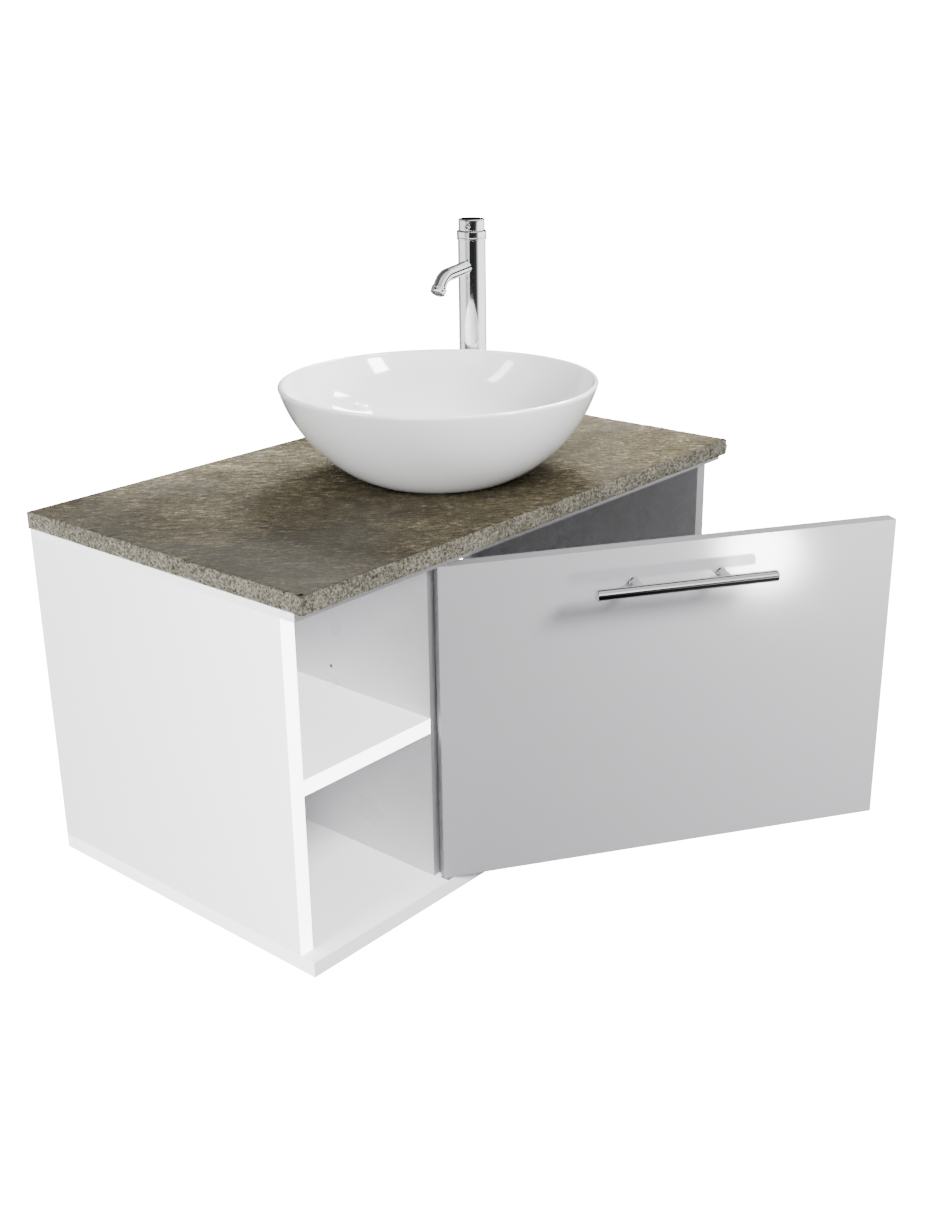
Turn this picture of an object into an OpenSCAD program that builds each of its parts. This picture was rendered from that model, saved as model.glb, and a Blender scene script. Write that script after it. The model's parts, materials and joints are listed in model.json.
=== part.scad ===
// Wall-hung bathroom vanity with a vessel basin and a tall single-lever mixer.
// Cabinet coordinates inside the modules: x from the left side, y from the front edge
// of the bottom board towards the wall, z from the underside of the bottom board.
// home() moves them so that the origin is the middle of the wall fixing holes.

/* [Cabinet] */
// Width of the carcass
cab_w = 762; // [740:1:800]
// Depth from the wall to the front edge of the bottom board
cab_d = 436; // [425:1:460]
// Height from the underside to the bottom of the sub-top
side_top = 401; // [395:1:440]
// Thickness of the boards
board_t = 18; // [17:0.5:19]
// Thickness of the white sub-top under the counter
sub_top_t = 9; // [8:0.5:12]
// Clear width of the open cubbies
cubby_w = 193; // [185:1:200]
// Height of the shelf's underside
shelf_z = 200; // [150:5:250]
// Set-back of the panels behind the bottom board's front edge
front_step = 20.5; // [20.5:0.5:24]
// Height of the back rails
rail_h = 80; // [70:5:90]
// Thickness of the back panel behind the cubbies
thin_back_t = 3; // [3:0.5:4]

/* [Counter] */
// Thickness of the stone counter
counter_t = 20; // [18:1:25]
// Overhang of the counter beyond each side
counter_side = 2; // [0:1:10]
// Overhang of the counter beyond the bottom board's front edge
counter_front = 13; // [5:1:30]

/* [Door] */
// Gap between the door's left edge and the divider's left face
door_inset = 3; // [2:0.5:4]
// Thickness of the door
door_t = 18; // [17:0.5:18]
// Distance of the pivot from the door's left edge and from its front
pivot_in = 7; // [6.5:0.1:7]
// How far the door stands open
door_open = 33.5; // [0:0.5:100]

/* [Handle] */
// Length of the bar handle
bar_len = 216; // [160:1:300]
// Diameter of the bar
bar_dia = 13; // [10:0.5:14]
// Distance between the two posts
post_gap = 105; // [96:1:128]
// Distance from the door's face to the bar's axis
bar_out = 30; // [25:1:35]
// Height of the bar above the underside of the cabinet
bar_z = 358; // [300:1:370]

/* [Basin] */
// Basin centre from the left side
basin_x = 406; // [396:1:412]
// Basin centre from the front edge of the bottom board
basin_y = 174; // [172:1:180]
// Outer radius of the rim
rim_r = 190; // [180:1:190]
// Height of the basin
basin_h = 114; // [108:1:125]
// Radius of the basin's foot
foot_r = 92; // [80:1:100]
// Thickness of the basin's wall at the rim
rim_t = 6; // [5:0.5:8]

/* [Faucet] */
// Faucet centre from the left side
faucet_x = 596; // [596:1:604]
// Faucet centre from the front edge of the bottom board
faucet_y = 282; // [282:1:292]
// Radius of the column
column_r = 18; // [17:0.5:18]
// Height of the column's top edge above the counter
column_h = 252; // [220:1:280]
// Direction of the spout, seen from above
spout_dir = 191; // [180:1:230]
// Direction of the lever at rest, seen from above
lever_dir = 213; // [180:1:240]
// Length of the spout's straight part from the column's axis
spout_len = 62; // [50:1:90]

/* [Hidden] */
$fn = 64;
tiny = 0.05;
divider_x = board_t + cubby_w;
right_x = cab_w - board_t;
counter_z = side_top + sub_top_t;
deck_z = counter_z + counter_t;
rail_y = cab_d - board_t;
divider_back = rail_y;
right_in = divider_x + board_t;

// Wall fixing holes
fix_x = 91;
fix_low = board_t + rail_h / 2;
fix_high = side_top - rail_h / 2;
fix_mid = (fix_low + fix_high) / 2;
fix_r = 4;

// Top stretchers
stretch_y = 60;
stretch_d = 76;
stretch_z = side_top - board_t;

// Dowels: [face x, side of the rail (+1 right, -1 left), y, z]
dowel_r = 4;
dowel_in_panel = 11;
dowel_in_rail = 17;
dowel_gap = 0.1;
rail_mid_y = cab_d - board_t / 2;
left_rows = [
    [shelf_z + board_t / 2, [80, 350]],
    [stretch_z + board_t / 2, [80, 116]]
];
cubby_dowels = [for (row = left_rows) for (y = row[1])
    for (end = [[board_t, 1], [divider_x, -1]]) [end[0], end[1], y, row[0]]];
right_dowels = [for (y = [70, 98]) for (end = [[right_in, 1], [right_x, -1]])
    [end[0], end[1], y, stretch_z + board_t / 2]];
rail_dowels = [for (z = [fix_low - 20, fix_low + 20, fix_high - 20, fix_high + 20])
    for (end = [[board_t, 1], [right_x, -1]]) [end[0], end[1], rail_mid_y, z]];
all_dowels = concat(cubby_dowels, right_dowels, rail_dowels);
divider_dowel_z = [fix_low + 10, fix_high - 10];

// Screws
confirmat_r = 3.5;
confirmat_len = 50;
confirmat_head_r = 5;
confirmat_x = [board_t / 2, divider_x + board_t / 2, cab_w - board_t / 2];
confirmat_y = [130, 380];
deck_screw_len = 30;

// Door, drawn closed and then swung open about its pivot
door_x = divider_x + door_inset;
door_w = cab_w - 1 - door_x;
door_z = board_t + 2.4;
door_top = side_top - 2.2;
pivot_x = door_x + pivot_in;
pivot_y = pivot_in;
pin_r = 2.95;
bush_bore_r = 3;
bush_r = 4.5;
bush_len = 16;
plate_len = 36;
plate_t = 2;
bar_x = door_x + door_w / 2 + 3;
bumper_z = [60, 300];

// Magnetic catch on the right side panel and its strike on the door
catch_z = 190;
catch_h = 42;
magnet_low = catch_z + 7;
magnet_high = magnet_low + 28;
strike_x = right_x - 7.5;
strike_t = 1.5;
strike_screw_z = [magnet_low + 6, magnet_high - 6];

// Basin and drain heights
seal_t = 1.5;
basin_z = deck_z + seal_t;
bowl_floor = 13;
floor_z = basin_z + bowl_floor;
drain_r = 21;
drain_bore_r = 17.5;
drain_low = side_top - 29;
nut_low = side_top - 15;
tail_low = 240;
tail_r = 16;
plug_stem_r = 3;

// Faucet heights
base_z = deck_z + seal_t;
column_top = deck_z + column_h;
spout_z = column_top - 33;
pocket_z = column_top - 30;
pocket_r = 13.5;
tilt_z = column_top + 11;
spindle_h = tilt_z - pocket_z - 20.4;
tilt_pin_r = 1.2;
ball_r = 13;
ball_gap = 0.4;
cap_low = tilt_z + 0.6;
cap_top = column_top + 26;
cap_r = 17;
lever_z = cap_low + 7.4;
lever_r = 3.2;
lever_reach = 45;
spout_r = 8.5;
spout_slope = 4;
bend_r = 24;
bend_angle = 50;
inlet_off = 7.5;
inlet_r = 4.5;
inlet_len = 23.5;
stud_off = 11;
stud_r = 3;

module home() {
    translate([-cab_w / 2, -cab_d, -fix_mid]) children();
}

module swung() {
    home()
        translate([pivot_x, pivot_y, 0])
            rotate([0, 0, -door_open])
                translate([-pivot_x, -pivot_y, 0]) children();
}

module at_basin(z = 0) {
    home() translate([basin_x, basin_y, z]) children();
}

module at_faucet(z = 0, dir = spout_dir) {
    home() translate([faucet_x, faucet_y, z]) rotate([0, 0, dir]) children();
}

module slab(low, high) {
    translate(low) cube(high - low);
}

module ring(outer_r, inner_r, h) {
    difference() {
        cylinder(r = outer_r, h = h);
        translate([0, 0, -1]) cylinder(r = inner_r, h = h + 2);
    }
}

module along_x(x, y, z) {
    translate([x, y, z]) rotate([0, 90, 0]) children();
}

module along_y(x, y, z) {
    translate([x, y, z]) rotate([-90, 0, 0]) children();
}

// Countersunk screw, head at z = 0 and pointing up
module csk_screw(r, len, head_r, extra = 0) {
    head_h = head_r - r;
    cylinder(r = r + extra, h = len + extra);
    cylinder(r1 = head_r + extra, r2 = r + extra, h = head_h + extra);
}

module dowel_set(extra, list) {
    for (d = list) {
        panel_end = dowel_in_panel + extra * 5;
        rail_end = dowel_in_rail + extra * 5;
        low = d[1] > 0 ? d[0] - panel_end : d[0] - rail_end;
        along_x(low, d[2], d[3]) cylinder(r = dowel_r + extra, h = panel_end + rail_end, $fn = 32);
    }
}

module divider_dowel_set(extra) {
    for (z = divider_dowel_z) {
        along_y(divider_x + board_t / 2, rail_y - 16 - extra * 5, z)
            cylinder(r = dowel_r + extra, h = 26 + extra * 10, $fn = 32);
    }
}

module confirmat_set(extra) {
    for (x = confirmat_x) for (y = confirmat_y) {
        translate([x, y, -extra]) {
            cylinder(r = confirmat_r + extra, h = confirmat_len + 2 * extra, $fn = 32);
            cylinder(r = confirmat_head_r + extra, h = 3 + 2 * extra, $fn = 32);
        }
    }
}

module deck_screw_set(extra) {
    for (x = confirmat_x) for (y = confirmat_y) {
        translate([x, y, counter_z + extra]) rotate([180, 0, 0])
            csk_screw(2, deck_screw_len, 4, extra);
    }
}

module fix_holes() {
    for (x = [fix_x, cab_w - fix_x]) for (z = [fix_low, fix_high]) {
        along_y(x, rail_y - thin_back_t - 1, z)
            cylinder(r = fix_r, h = board_t + thin_back_t + 2, $fn = 48);
    }
}

// ---- carcass ----

module bottom_board() color("white") home() difference() {
    slab([0, 0, 0], [cab_w, cab_d, board_t]);
    confirmat_set(0.1);
    translate([0, 0, board_t - plate_t]) plate_recess();
    pivot_screw_holes(board_t - 12, 12);
}

module plate_recess() {
    translate([pivot_x - 7.1, pivot_y - 6.1, 0]) cube([plate_len + 0.2, 12.2, plate_t + 1]);
    cylinder_at_pivot(pin_r + 1, plate_t + 1);
}

module cylinder_at_pivot(r, h) {
    translate([pivot_x, pivot_y, 0]) cylinder(r = r, h = h);
}

module pivot_screw_holes(z, h) {
    for (dx = [14, 23]) translate([pivot_x + dx, pivot_y, z]) cylinder(r = 1.6, h = h, $fn = 24);
}

module side_panel(x) {
    difference() {
        slab([x, front_step, board_t], [x + board_t, cab_d, side_top]);
        dowel_set(dowel_gap, all_dowels);
        confirmat_set(0.1);
        deck_screw_set(0.1);
    }
}

module left_side_panel() color("white") home() side_panel(0);

module right_side_panel() color("white") home() side_panel(right_x);

module divider_panel() color("white") home() difference() {
    slab([divider_x, front_step, board_t], [right_in, divider_back, side_top]);
    dowel_set(dowel_gap, concat(cubby_dowels, right_dowels));
    divider_dowel_set(dowel_gap);
    confirmat_set(0.1);
    deck_screw_set(0.1);
    // spare shelf-pin hole in the upper cubby
    along_x(divider_x - 1, 176, shelf_z + 40) cylinder(r = 2.5, h = 9, $fn = 32);
}

module shelf() color("white") home() difference() {
    slab([board_t, front_step, shelf_z], [divider_x, rail_y - thin_back_t, shelf_z + board_t]);
    dowel_set(dowel_gap, cubby_dowels);
}

module cubby_back_panel() color("whitesmoke") home() difference() {
    slab([board_t, rail_y - thin_back_t, board_t], [divider_x, rail_y, side_top]);
    fix_holes();
}

module back_rail(z) {
    difference() {
        slab([board_t, rail_y, z], [right_x, cab_d, z + rail_h]);
        dowel_set(dowel_gap, rail_dowels);
        divider_dowel_set(dowel_gap);
        fix_holes();
    }
}

module upper_back_rail() color("white") home() back_rail(side_top - rail_h);

module lower_back_rail() color("white") home() back_rail(board_t);

module stretcher(x0, x1, list) {
    difference() {
        slab([x0, stretch_y, stretch_z], [x1, stretch_y + stretch_d, side_top]);
        dowel_set(dowel_gap, list);
    }
}

module left_top_stretcher() color("white") home() stretcher(board_t, divider_x, cubby_dowels);

module right_top_stretcher() color("white") home() stretcher(right_in, right_x, right_dowels);

module sub_top() color("whitesmoke") home() difference() {
    slab([0, 0, side_top], [cab_w, cab_d, counter_z]);
    deck_screw_set(0.1);
    translate([basin_x, basin_y, side_top - 1]) cylinder(r = 24, h = sub_top_t + 2);
    translate([faucet_x, faucet_y, side_top - 1]) cylinder(r = 17, h = sub_top_t + 2);
    translate([0, 0, side_top - 1]) plate_recess();
    pivot_screw_holes(side_top, 7);
}

module countertop() color("tan") home() difference() {
    slab([-counter_side, -counter_front, counter_z], [cab_w + counter_side, cab_d, deck_z]);
    translate([basin_x, basin_y, counter_z - 1]) cylinder(r = 24, h = counter_t + 2);
    translate([faucet_x, faucet_y, counter_z - 1]) cylinder(r = 17, h = counter_t + 2);
}

module wood_dowels() color("burlywood") home() {
    dowel_set(0, all_dowels);
    divider_dowel_set(0);
}

module carcass_screws() color("silver") home() confirmat_set(0);

module sub_top_screws() color("silver") home() deck_screw_set(0);

// ---- door pivots, catch ----

module pivot_plate() {
    difference() {
        union() {
            translate([pivot_x - 7, pivot_y - 6, -plate_t]) cube([plate_len, 12, plate_t]);
            translate([pivot_x, pivot_y, -plate_t]) cylinder(r = pin_r, h = plate_t + 16);
        }
        for (dx = [14, 23]) {
            translate([pivot_x + dx, pivot_y, tiny]) rotate([180, 0, 0]) csk_screw(1.5, 6, 3, 0.1);
        }
    }
}

module on_top_plate() {
    translate([0, 2 * pivot_y, side_top]) rotate([180, 0, 0]) children();
}

module bottom_pivot_plate() color("silver") home() translate([0, 0, board_t]) pivot_plate();

module top_pivot_plate() color("silver") home() on_top_plate() pivot_plate();

module plate_screws(len) {
    for (dx = [14, 23]) {
        translate([pivot_x + dx, pivot_y, 0]) rotate([180, 0, 0]) csk_screw(1.5, len, 3);
    }
}

module pivot_plate_screws() color("silver") home() {
    translate([0, 0, board_t]) plate_screws(11);
    on_top_plate() plate_screws(6.5);
}

module pivot_washers() color("white") home() {
    for (z = [board_t, side_top - 2]) translate([pivot_x, pivot_y, z]) ring(6, pin_r + 0.1, 2);
}

module catch_housing() color("white") home() difference() {
    slab([right_x - 15, front_step + 1.5, catch_z], [right_x, front_step + 30, catch_z + catch_h]);
    slab([right_x - 12, front_step, magnet_low], [right_x - 3, front_step + 12, magnet_high]);
}

module catch_magnet() color("dimgray") home()
    slab([right_x - 11.7, front_step + 1, magnet_low + 0.3],
        [right_x - 3.3, front_step + 11.7, magnet_high - 0.3]);

// ---- door ----

module door_panel() color("gainsboro") swung() difference() {
    slab([door_x, 0, door_z], [door_x + door_w, door_t, door_top]);
    translate([pivot_x, pivot_y, door_z - 1]) cylinder(r = bush_r + 0.05, h = 19);
    translate([pivot_x, pivot_y, door_top - 18]) cylinder(r = bush_r + 0.05, h = 19);
    for (s = [-1, 1]) along_y(bar_x + s * post_gap / 2, -1, bar_z) cylinder(r = 2.3, h = door_t + 2);
    for (z = strike_screw_z) along_y(strike_x, door_t - 10, z) cylinder(r = 1.6, h = 11, $fn = 24);
}

module pivot_bushings() color("goldenrod") swung() {
    for (z = [door_z, door_top - bush_len]) {
        translate([pivot_x, pivot_y, z]) ring(bush_r, bush_bore_r, bush_len);
    }
}

module bar_solid(r) {
    along_x(bar_x - bar_len / 2, -bar_out, bar_z) cylinder(r = r, h = bar_len);
}

module handle_bar() color("silver") swung() difference() {
    bar_solid(bar_dia / 2);
    for (end = [-1, 1]) {
        along_x(bar_x + end * (bar_len / 2 - 0.5) - 0.5, -bar_out, bar_z)
            ring(bar_dia, bar_dia / 2 - 0.6, 1);
    }
}

module handle_posts() color("silver") swung() difference() {
    for (s = [-1, 1]) {
        along_y(bar_x + s * post_gap / 2, -bar_out, bar_z) cylinder(r = 5, h = bar_out);
    }
    bar_solid(bar_dia / 2);
    for (s = [-1, 1]) {
        along_y(bar_x + s * post_gap / 2, -16, bar_z) cylinder(r = 2.1, h = 20);
    }
}

module handle_screws() color("silver") swung() {
    for (s = [-1, 1]) {
        along_y(bar_x + s * post_gap / 2, -14, bar_z) cylinder(r = 2, h = door_t + 15);
        along_y(bar_x + s * post_gap / 2, door_t, bar_z) difference() {
            cylinder(r = 4, h = 2.2);
            translate([-3, -0.5, 1.2]) cube([6, 1, 2]);
            translate([-0.5, -3, 1.2]) cube([1, 6, 2]);
        }
    }
}

module strike_plate() color("silver") swung() difference() {
    slab([right_x - 14, door_t, magnet_low], [right_x - 1, door_t + strike_t, magnet_high]);
    for (z = strike_screw_z) along_y(strike_x, door_t - 1, z) cylinder(r = 1.6, h = 4, $fn = 24);
}

module strike_screws() color("silver") swung() {
    for (z = strike_screw_z) {
        along_y(strike_x, door_t - 9, z) cylinder(r = 1.5, h = 10.5, $fn = 24);
        along_y(strike_x, door_t + strike_t, z) cylinder(r = 2.6, h = 0.8, $fn = 24);
    }
}

module door_bumpers() color("lightgray") swung() {
    for (z = bumper_z) along_y(cab_w - board_t / 2, door_t, z) cylinder(r = 4, h = 2);
}

// ---- basin and drain ----

function bezier(a, b, c, d, t) =
    pow(1 - t, 3) * a + 3 * pow(1 - t, 2) * t * b + 3 * (1 - t) * t * t * c + t * t * t * d;

wall_steps = 14;
rim_roll = rim_t / 2;
outer_wall = [for (i = [0:wall_steps])
    bezier([foot_r, 0], [foot_r + 48, 20], [rim_r - 14, basin_h * 0.55],
        [rim_r, basin_h - rim_roll], i / wall_steps)];
inner_wall = [for (i = [0:wall_steps])
    bezier([rim_r - rim_t, basin_h - rim_roll], [rim_r - 22, basin_h * 0.56],
        [foot_r + 38, 30], [36, bowl_floor], i / wall_steps)];
rim_arc = [for (a = [30:30:150])
    [rim_r - rim_roll + rim_roll * cos(a), basin_h - rim_roll + rim_roll * sin(a)]];

module basin() color("white") at_basin(basin_z) difference() {
    rotate_extrude($fn = 96) polygon(concat(
        [[23, 0], [foot_r - 4, 0]], outer_wall, rim_arc, inner_wall, [[23, bowl_floor]]));
    translate([0, 0, -1]) cylinder(r = 23, h = bowl_floor + 2);
}

module basin_seal() color("gray") at_basin(deck_z) ring(foot_r - 6, foot_r - 18, seal_t);

module drain_flange() color("silver") at_basin() difference() {
    union() {
        translate([0, 0, floor_z + 1]) cylinder(r1 = 32, r2 = 31, h = 2.5);
        translate([0, 0, drain_low]) cylinder(r = drain_r, h = floor_z + 2 - drain_low);
    }
    translate([0, 0, drain_low - 1]) cylinder(r = drain_bore_r, h = floor_z - drain_low + 6);
}

module drain_upper_gasket() color("dimgray") at_basin(floor_z) ring(31, drain_r + 0.1, 1);

module drain_lower_washer() color("dimgray") at_basin(side_top - 3) ring(33, drain_r + 0.1, 3);

module drain_nut() color("silver") at_basin(nut_low) difference() {
    cylinder(r = 31, h = 12, $fn = 6);
    translate([0, 0, -1]) cylinder(r = drain_r + 0.1, h = 14);
}

module click_cartridge() color("white") at_basin(floor_z - 30) difference() {
    union() {
        cylinder(r = 8, h = 26);
        for (a = [0, 120, 240]) {
            rotate([0, 0, a]) translate([0, -1.5, 16]) cube([drain_bore_r - 0.3, 3, 5]);
        }
    }
    translate([0, 0, 4]) cylinder(r = plug_stem_r + 0.08, h = 30);
}

module drain_plug() color("silver") at_basin(floor_z) {
    translate([0, 0, 3.8]) rotate_extrude($fn = 96)
        polygon([[0, 0], [28, 0], [29, 1], [28, 2.6], [20, 4.6], [10, 5.8], [0, 6.2]]);
    translate([0, 0, -20]) cylinder(r = plug_stem_r, h = 24);
}

module tailpiece() color("silver") at_basin(tail_low) difference() {
    union() {
        cylinder(r = tail_r, h = drain_low + 8 - tail_low);
        translate([0, 0, 60]) cylinder(r = tail_r + 1.5, h = 3);
    }
    translate([0, 0, -1]) cylinder(r = tail_r - 1.2, h = drain_low + 12 - tail_low);
}

module tailpiece_nut() color("silver") at_basin(drain_low - 10) difference() {
    cylinder(r = 27, h = 18, $fn = 8);
    translate([0, 0, -1]) cylinder(r = tail_r + 0.1, h = 20);
    translate([0, 0, 10]) cylinder(r = drain_r + 0.1, h = 9);
}

// ---- faucet ----

module faucet_body() color("silver") at_faucet() difference() {
    translate([0, 0, base_z]) cylinder(r = column_r, h = column_top - base_z);
    translate([0, 0, pocket_z]) cylinder(r = pocket_r, h = 40);
    translate([0, 0, spout_z - 3]) cylinder(r = 4, h = 10);
    translate([0, 0, spout_z]) rotate([0, 90 + spout_slope, 0]) cylinder(r = 6, h = 30);
    for (s = [-1, 1]) {
        translate([0, s * inlet_off, base_z - 1]) cylinder(r = inlet_r, h = inlet_len + 1);
        translate([0, s * 9.5, base_z]) cylinder(r = 2.2, h = pocket_z - base_z + 1, $fn = 24);
    }
    translate([-stud_off, 0, base_z - 1]) cylinder(r = stud_r + 0.05, h = 13);
}

module faucet_base_ring() color("silver") at_faucet(base_z) difference() {
    union() {
        cylinder(r = 24.5, h = 3.5);
        translate([0, 0, 3.5]) cylinder(r1 = 24.5, r2 = 22, h = 2);
    }
    translate([0, 0, -1]) cylinder(r = column_r + 0.1, h = 9);
}

module faucet_base_gasket() color("dimgray") at_faucet(deck_z) difference() {
    cylinder(r = 23.5, h = seal_t);
    translate([0, 0, -1]) cylinder(r = 16, h = seal_t + 2);
}

module spout_tube(r) {
    rotate([0, 90, 0]) cylinder(r = r, h = spout_len + 0.3);
    translate([spout_len, 0, -bend_r]) rotate([90, 0, 0]) rotate([0, 0, 90 - bend_angle])
        rotate_extrude(angle = bend_angle) translate([bend_r, 0]) circle(r = r - 0.05);
}

module at_spout_end() {
    translate([spout_len + bend_r * sin(bend_angle), 0, -bend_r * (1 - cos(bend_angle))])
        rotate([0, 90 + bend_angle, 0]) children();
}

module spout_frame() {
    at_faucet(spout_z) rotate([0, spout_slope, 0]) children();
}

module faucet_spout() color("silver") difference() {
    spout_frame() {
        spout_tube(spout_r);
        at_spout_end() translate([0, 0, -0.3]) cylinder(r = spout_r, h = 4.3);
    }
    spout_frame() {
        spout_tube(spout_r - 2.6);
        at_spout_end() translate([0, 0, -0.3]) cylinder(r = spout_r - 2.6, h = 5.3);
    }
    at_faucet(spout_z - 20) cylinder(r = column_r + 0.02, h = 40);
}

module aerator_housing() color("silver") spout_frame() at_spout_end() translate([0, 0, 4])
    difference() {
        union() {
            cylinder(r = spout_r + 0.6, h = 8);
            translate([0, 0, 8]) cylinder(r1 = spout_r + 0.6, r2 = spout_r, h = 1);
        }
        translate([0, 0, -1]) cylinder(r = spout_r - 2.6, h = 4);
        translate([0, 0, 3]) cylinder(r = spout_r - 1, h = 9);
    }

module aerator_mesh() color("gray") spout_frame() at_spout_end() translate([0, 0, 7.2])
    difference() {
        cylinder(r = spout_r - 1.1, h = 4);
        for (a = [0:45:315]) rotate([0, 0, a]) translate([4.4, 0, -1]) cylinder(r = 0.9, h = 6, $fn = 16);
        translate([0, 0, -1]) cylinder(r = 0.9, h = 6, $fn = 16);
    }

module ceramic_cartridge() color("white") at_faucet(pocket_z + 0.2) {
    cylinder(r = pocket_r - 0.3, h = 16);
    translate([0, 0, 16]) cylinder(r = 9, h = 4);
}

module cartridge_nut() color("goldenrod") at_faucet(pocket_z + 16.4)
    ring(pocket_r - 0.1, 9.2, 8);

module handle_collar() color("silver") at_faucet(column_top) difference() {
    union() {
        cylinder(r = column_r + 1.3, h = 10.4);
        translate([0, 0, 10.4]) cylinder(r1 = column_r + 1.3, r2 = column_r + 0.7, h = 0.6);
        translate([0, 0, 11]) sphere(r = ball_r);
    }
    translate([0, 0, -20]) cube([60, 60, 40], center = true);
    translate([0, 0, -1]) cylinder(r = 10.2, h = 12);
    translate([0, 0, 11]) sphere(r = ball_r - 2.5);
    translate([0, 0, 18]) cylinder(r = 20, h = 20);
}

module tilt_pin(r, h) {
    rotate([90, 0, 0]) cylinder(r = r, h = h, center = true);
}

// Turning spindle, forked at its top round the stem's eye
module cartridge_spindle() color("white") at_faucet(tilt_z, lever_dir) difference() {
    translate([0, 0, -spindle_h]) cylinder(r = 5, h = spindle_h + 2.2);
    translate([-6, -2.9, -4]) cube([12, 5.8, 8]);
    tilt_pin(tilt_pin_r + 0.02, 12);
}

module lever_pivot_pin() color("silver") at_faucet(tilt_z, lever_dir) tilt_pin(tilt_pin_r, 9.4);

module cartridge_stem() color("goldenrod") at_faucet(tilt_z, lever_dir) difference() {
    union() {
        translate([0, 0, 3.6]) cylinder(r = 3.5, h = cap_top - 2.4 - tilt_z - 3.6);
        translate([-3, -2.7, 0]) cube([6, 5.4, 3.7]);
        tilt_pin(3, 5.4);
    }
    tilt_pin(tilt_pin_r + 0.05, 8);
}

module handle_cap() color("silver") at_faucet(0, lever_dir) difference() {
    union() {
        difference() {
            union() {
                translate([0, 0, cap_low]) cylinder(r = cap_r, h = cap_top - 1 - cap_low);
                translate([0, 0, cap_top - 1]) cylinder(r1 = cap_r, r2 = cap_r - 1, h = 1);
            }
            translate([0, 0, tilt_z]) sphere(r = ball_r + ball_gap);
        }
        translate([0, 0, cap_top - 5.5]) cylinder(r = 5.2, h = 4);
    }
    translate([0, 0, cap_low - 2]) cylinder(r = 3.55, h = cap_top - 2.4 - cap_low + 2);
    // slanted rear underside that lets the cap tip back
    translate([0, 30, cap_low - tiny]) rotate([90, 0, 0]) linear_extrude(height = 60)
        polygon([[0, 0], [-20, 0], [-20, 20 * tan(22)]]);
    translate([0, 0, lever_z]) rotate([0, 90, 0]) translate([0, 0, 12]) cylinder(r = lever_r + 0.05, h = 9);
    rotate([0, 0, 120]) translate([12.5, 0, lever_z + 1]) rotate([0, 90, 0])
        cylinder(r = 1.75, h = 6, $fn = 24);
}

module handle_lever() color("silver") at_faucet(lever_z, lever_dir) rotate([0, 90, 0])
    translate([0, 0, 12]) {
        cylinder(r = lever_r, h = lever_reach - 13);
        translate([0, 0, lever_reach - 13]) cylinder(r1 = lever_r, r2 = lever_r - 1, h = 1);
    }

module grub_screw() color("dimgray") at_faucet(lever_z + 1, lever_dir + 120) rotate([0, 90, 0])
    translate([0, 0, 12.6]) difference() {
        cylinder(r = 1.65, h = 3.4, $fn = 24);
        translate([0, 0, 2]) cylinder(r = 0.9, h = 3, $fn = 6);
    }

module fixing_stud() color("silver") at_faucet() translate([-stud_off, 0, side_top - 30])
    cylinder(r = stud_r, h = base_z + 11 - side_top + 30);

module horseshoe(h) {
    difference() {
        cylinder(r = 24, h = h);
        translate([-3, -13.5, -1]) cube([40, 27, h + 2]);
        translate([-stud_off, 0, -1]) cylinder(r = stud_r + 0.1, h = h + 2);
    }
}

module horseshoe_gasket() color("dimgray") at_faucet(side_top - 2) horseshoe(2);

module horseshoe_washer() color("silver") at_faucet(side_top - 4.5) horseshoe(2.5);

module fixing_nut() color("goldenrod") at_faucet(side_top - 10.5) translate([-stud_off, 0, 0])
    difference() {
        cylinder(r = 6.5, h = 6, $fn = 6);
        translate([0, 0, -1]) cylinder(r = stud_r + 0.05, h = 8);
    }

bottom_board();
left_side_panel();
right_side_panel();
divider_panel();
shelf();
cubby_back_panel();
upper_back_rail();
lower_back_rail();
left_top_stretcher();
right_top_stretcher();
sub_top();
countertop();
wood_dowels();
carcass_screws();
sub_top_screws();
bottom_pivot_plate();
top_pivot_plate();
pivot_plate_screws();
pivot_washers();
catch_housing();
catch_magnet();
door_panel();
pivot_bushings();
handle_bar();
handle_posts();
handle_screws();
strike_plate();
strike_screws();
door_bumpers();
basin();
basin_seal();
drain_flange();
drain_upper_gasket();
drain_lower_washer();
drain_nut();
click_cartridge();
drain_plug();
tailpiece();
tailpiece_nut();
faucet_body();
faucet_base_ring();
faucet_base_gasket();
faucet_spout();
aerator_housing();
aerator_mesh();
ceramic_cartridge();
cartridge_nut();
handle_collar();
cartridge_spindle();
lever_pivot_pin();
cartridge_stem();
handle_cap();
handle_lever();
grub_screw();
fixing_stud();
horseshoe_gasket();
horseshoe_washer();
fixing_nut();
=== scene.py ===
"""Looks of a wall-hung vanity: white boards, gloss door, stone-look counter, vessel basin, tall mixer.

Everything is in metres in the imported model's frame: X right, +Y into the wall, Z up.
"""
import json
import math

import bmesh
import bpy
from mathutils import Matrix, Vector, noise

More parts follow.
